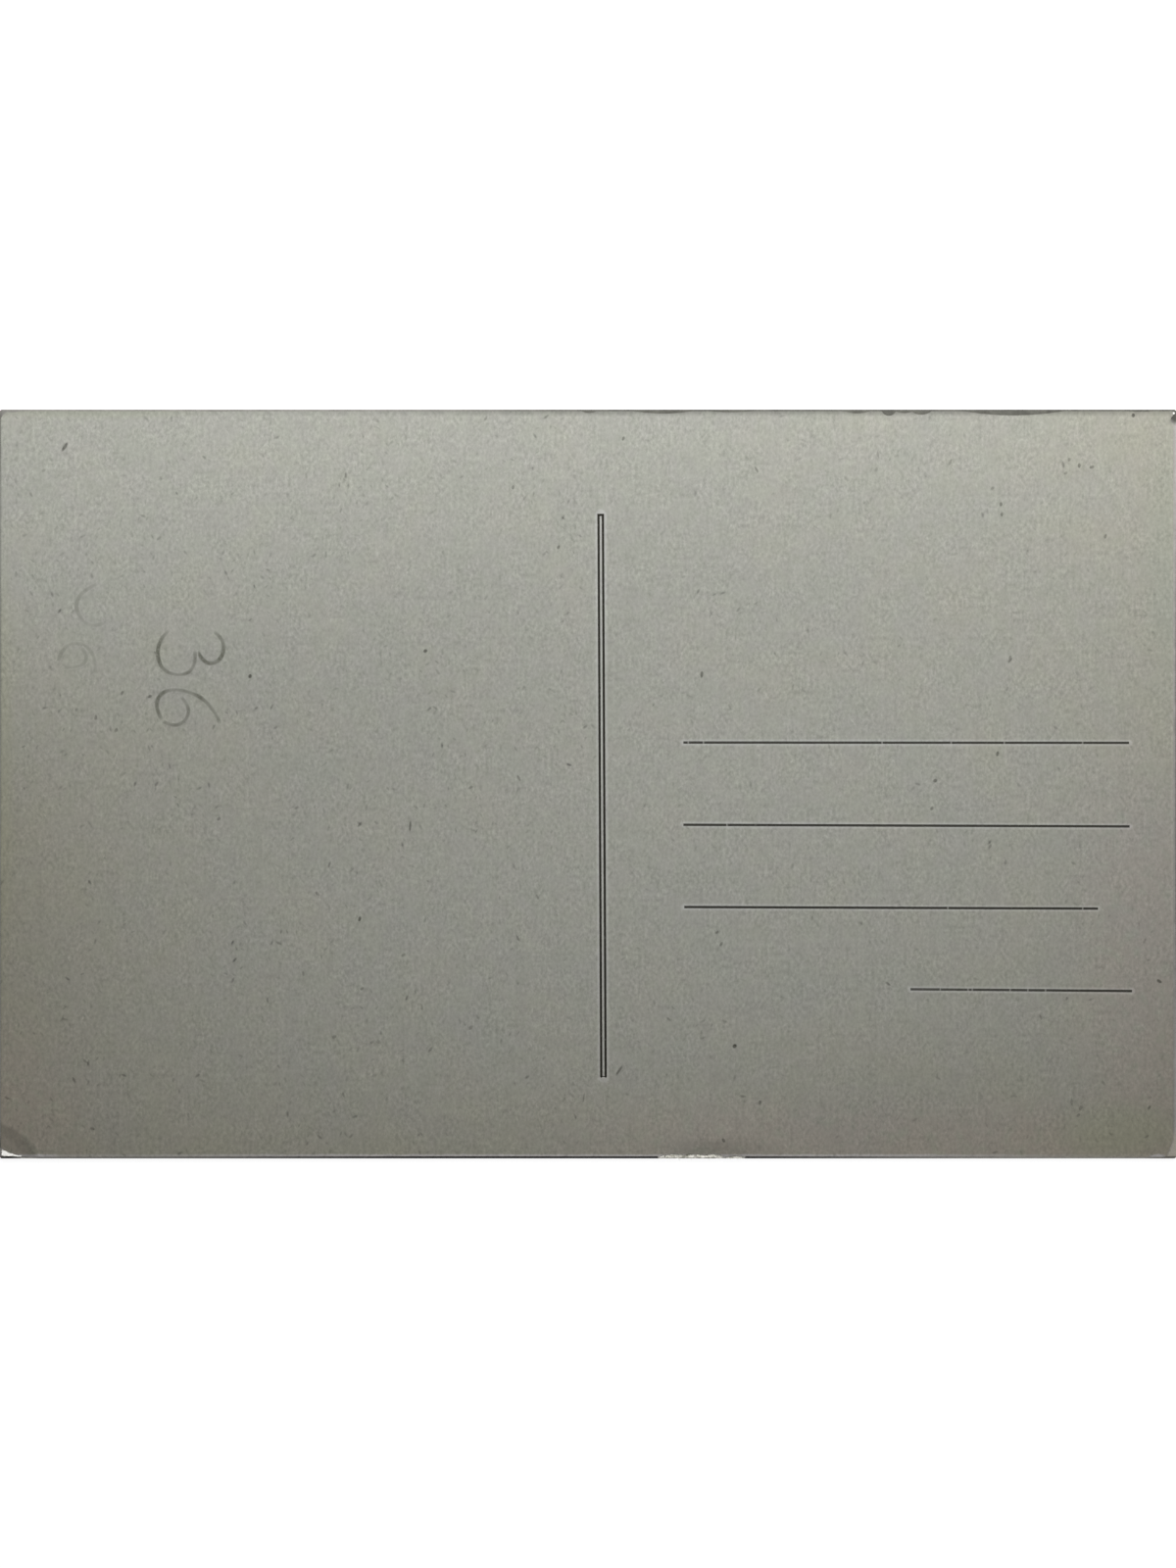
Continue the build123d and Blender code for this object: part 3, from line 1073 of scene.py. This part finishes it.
# The floor's own glow near the card and far from it, and where it changes, in millimetres
FLOOR_COLOUR = (0.25, 0.25, 0.25)
NEAR_GLOW = 0.9
FAR_GLOW = 1
GLOW_FROM = 88
GLOW_TO = 140

# The picture in pixels, how many of them the card spans, and the camera's sensor in millimetres
IMAGE_WIDTH = 1200
IMAGE_HEIGHT = 1600
CARD_PIXELS = 1201.2
SENSOR = 36


def seen_directly(recipe):
    """1 for camera, glossy and glass rays, 0 for light that falls on surfaces."""
    path = recipe.node("LightPath")
    kinds = ("Is Camera Ray", "Is Glossy Ray", "Is Transmission Ray")
    return largest(*[Value(recipe, path.outputs[kind]) for kind in kinds])


def floor_material():
    """A pale floor that looks white and still takes a shadow."""
    card = new_face("Pale floor")
    recipe = card.recipe
    strength = card.place.length().ramp(GLOW_FROM, GLOW_TO, NEAR_GLOW, FAR_GLOW)
    glow = recipe.result("Emission", 0, {"Strength": seen_directly(recipe) * strength})
    plain = recipe.result("BsdfDiffuse", 0, {"Color": FLOOR_COLOUR})
    both = recipe.result("AddShader", 0, {0: plain, 1: glow})
    recipe.node("OutputMaterial", {"Surface": both})
    return recipe.owner


def make_world(ambient):
    """White where it is seen, and dim as light."""
    recipe = recipe_for(bpy.data.worlds.new("Studio"))
    feeds = {"Color": (1, 1, 1), "Strength": seen_directly(recipe).ramp(0, 1, ambient, 1)}
    background = recipe.result("Background", 0, feeds)
    recipe.node("OutputWorld", {"Surface": background})
    bpy.context.scene.world = recipe.owner


def make_lamp(name, place, size, watts):
    """A rectangular lamp aimed at the middle of the card."""
    bpy.ops.object.light_add(type="AREA", location=place)
    lamp = bpy.context.object
    lamp.name = name
    lamp.data.shape = "RECTANGLE"
    lamp.data.size, lamp.data.size_y = size
    lamp.data.energy = watts
    lamp.visible_camera = False
    lamp.rotation_euler = (-Vector(place)).to_track_quat("-Z", "Y").to_euler()


def make_camera(lens):
    """A camera square above the card, which spans the frame from side to side."""
    view_width = CARD_LENGTH * IMAGE_WIDTH / CARD_PIXELS
    sensor_width = SENSOR * IMAGE_WIDTH / IMAGE_HEIGHT
    distance = view_width * lens / sensor_width
    bpy.ops.object.camera_add(location=(0, 0, CARD_TOP + distance), rotation=(0, 0, 0))
    camera = bpy.context.object
    camera.data.sensor_width = SENSOR
    camera.data.lens = lens
    camera.data.clip_start = 0.01
    bpy.context.scene.camera = camera


# Operators

class POSTCARD_OT_address_sheet(Operator):
    """Give the address sheet its aged, flecked paper"""

    bl_idname = "postcard.address_sheet"
    bl_label = "Address Sheet"

    def execute(self, context):
        paper = context.scene.postcard.paper
        address_paper(paper)
        dress("back_liner", sheet_material(paper))
        return {"FINISHED"}


class POSTCARD_OT_printed_rules(Operator):
    """Ink the divider and the address rules"""

    bl_idname = "postcard.printed_rules"
    bl_label = "Printed Rules"

    def execute(self, context):
        settings = context.scene.postcard
        for node in RULE_NODES:
            dress(node, ink_material(node, settings.paper, settings.printing))
        return {"FINISHED"}


class POSTCARD_OT_board_plies(Operator):
    """Give the pulp board and the paste their finish"""

    bl_idname = "postcard.board_plies"
    bl_label = "Board and Paste"

    def execute(self, context):
        board = context.scene.postcard.board
        dress("core_board", pulp_material(board))
        paste = paste_material(board)
        for node in ("back_paste", "front_paste"):
            dress(node, paste)
        return {"FINISHED"}


class POSTCARD_OT_picture_side(Operator):
    """Give the picture side its paper and its print"""

    bl_idname = "postcard.picture_side"
    bl_label = "Picture Side"

    def execute(self, context):
        picture = context.scene.postcard.picture
        dress("front_liner", picture_paper_material(picture))
        dress("picture_print", picture_material(picture))
        return {"FINISHED"}


class POSTCARD_OT_pencil_marks(Operator):
    """Pencil a number on the message half, and rubbed-out strokes"""

    bl_idname = "postcard.pencil_marks"
    bl_label = "Pencil Marks"

    def execute(self, context):
        settings = context.scene.postcard
        pencil = settings.pencil
        number = []
        for stroke in NUMBER_STROKES:
            number.append([(NUMBER_BASELINE + up, NUMBER_START - along) for along, up in stroke])
        marks = (
            (number, "pencil_number", "Pencil", pencil.pressure),
            (RUBBED_STROKES, "rubbed_pencil", "Rubbed-out pencil", pencil.rubbed),
        )
        for strokes, name, label, strength in marks:
            piece = pencil_strokes(strokes, name, pencil)
            material = pencil_material(label, strength, settings.paper, pencil)
            finish_piece(piece, material)
        return {"FINISHED"}


class POSTCARD_OT_wood_flecks(Operator):
    """Lay the wood flecks that stand out into the address sheet"""

    bl_idname = "postcard.wood_flecks"
    bl_label = "Wood Flecks"

    def execute(self, context):
        settings = context.scene.postcard
        height = settings.wear.fleck_height
        first = model_fleck(height)
        copies = [first] + [copy_of(first) for _ in WOOD_FLECKS[1:]]
        flecks = [place_fleck(fleck, *sizes, height) for fleck, sizes in zip(copies, WOOD_FLECKS)]
        material = fleck_material(settings.paper, settings.wear)
        finish_piece(join(flecks, "wood_flecks"), material)
        return {"FINISHED"}


class POSTCARD_OT_torn_stock(Operator):
    """Raise torn flakes and fibres on the lower edge and the worn corners"""

    bl_idname = "postcard.torn_stock"
    bl_label = "Torn Stock"

    def execute(self, context):
        settings = context.scene.postcard
        wear = settings.wear
        board = settings.board
        material = torn_material("Torn pulp", board.pulp, board.shaded_hollow, 0)
        clean = torn_material("Clean pulp", board.clean, board.pulp, 0.1)
        chance = random.Random(wear.seed)
        thickness = wear.flake_thickness
        tear = [torn_flake(*flake, thickness, TEAR_RAGGED, chance) for flake in TEAR_FLAKES]
        finish_piece(join(tear, "torn_flakes"), material)
        corner = [torn_flake(*flake, thickness, CORNER_RAGGED, chance) for flake in CORNER_FLAKES]
        finish_piece(join(corner, "corner_flakes"), clean)
        first = model_fibre(wear.fibre_width, wear.fibre_length)
        fibres = []
        for fibre in [first] + [copy_of(first) for _ in range(wear.fibres - 1)]:
            x = chance.uniform(TEAR_LEFT + TEAR_FADE, TEAR_RIGHT - TEAR_FADE)
            fibres.append(place_fibre(fibre, x, chance.uniform(*FIBRE_ROOT_UP), chance))
        finish_piece(join(fibres, "torn_fibres"), material)
        return {"FINISHED"}


class POSTCARD_OT_studio(Operator):
    """Set up the floor, the lamps, the world and the camera"""

    bl_idname = "postcard.studio"
    bl_label = "Studio"

    def execute(self, context):
        studio = context.scene.postcard.studio
        bpy.ops.mesh.primitive_plane_add(size=studio.floor, location=(0, 0, CARD_LOW.z))
        floor = context.object
        floor.name = "floor"
        floor.data.materials.append(floor_material())
        make_world(studio.ambient)
        make_lamp("key_lamp", KEY_PLACE, KEY_SIZE, studio.key_watts)
        make_lamp("fill_lamp", FILL_PLACE, FILL_SIZE, studio.fill_watts)
        make_camera(studio.lens)
        context.scene.view_settings.view_transform = "Standard"
        return {"FINISHED"}


OPERATORS = (
    POSTCARD_OT_address_sheet,
    POSTCARD_OT_printed_rules,
    POSTCARD_OT_board_plies,
    POSTCARD_OT_picture_side,
    POSTCARD_OT_pencil_marks,
    POSTCARD_OT_wood_flecks,
    POSTCARD_OT_torn_stock,
    POSTCARD_OT_studio,
)


class POSTCARD_PT_panel(Panel):
    """Lists the steps that dress the postcard"""

    bl_label = "Postcard"
    bl_idname = "POSTCARD_PT_panel"
    bl_space_type = "VIEW_3D"
    bl_region_type = "UI"
    bl_category = "Postcard"

    def draw(self, context):
        for operator in OPERATORS:
            self.layout.operator(operator.bl_idname)


SETTINGS = (
    PaperSettings, PrintingSettings, BoardSettings, PictureSettings,
    PencilSettings, WearSettings, StudioSettings, PostcardSettings,
)
CLASSES = SETTINGS + OPERATORS + (POSTCARD_PT_panel,)


def register():
    """Adds the settings, operators and panel."""
    for each in CLASSES:
        bpy.utils.register_class(each)
    bpy.types.Scene.postcard = PointerProperty(type=PostcardSettings)


def unregister():
    """Takes them away again."""
    del bpy.types.Scene.postcard
    for each in reversed(CLASSES):
        bpy.utils.unregister_class(each)


def main():
    """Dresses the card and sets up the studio."""
    register()
    bpy.ops.postcard.address_sheet()
    bpy.ops.postcard.printed_rules()
    bpy.ops.postcard.board_plies()
    bpy.ops.postcard.picture_side()
    bpy.ops.postcard.pencil_marks()
    bpy.ops.postcard.wood_flecks()
    bpy.ops.postcard.torn_stock()
    bpy.ops.postcard.studio()


if __name__ == "__main__":
    main()
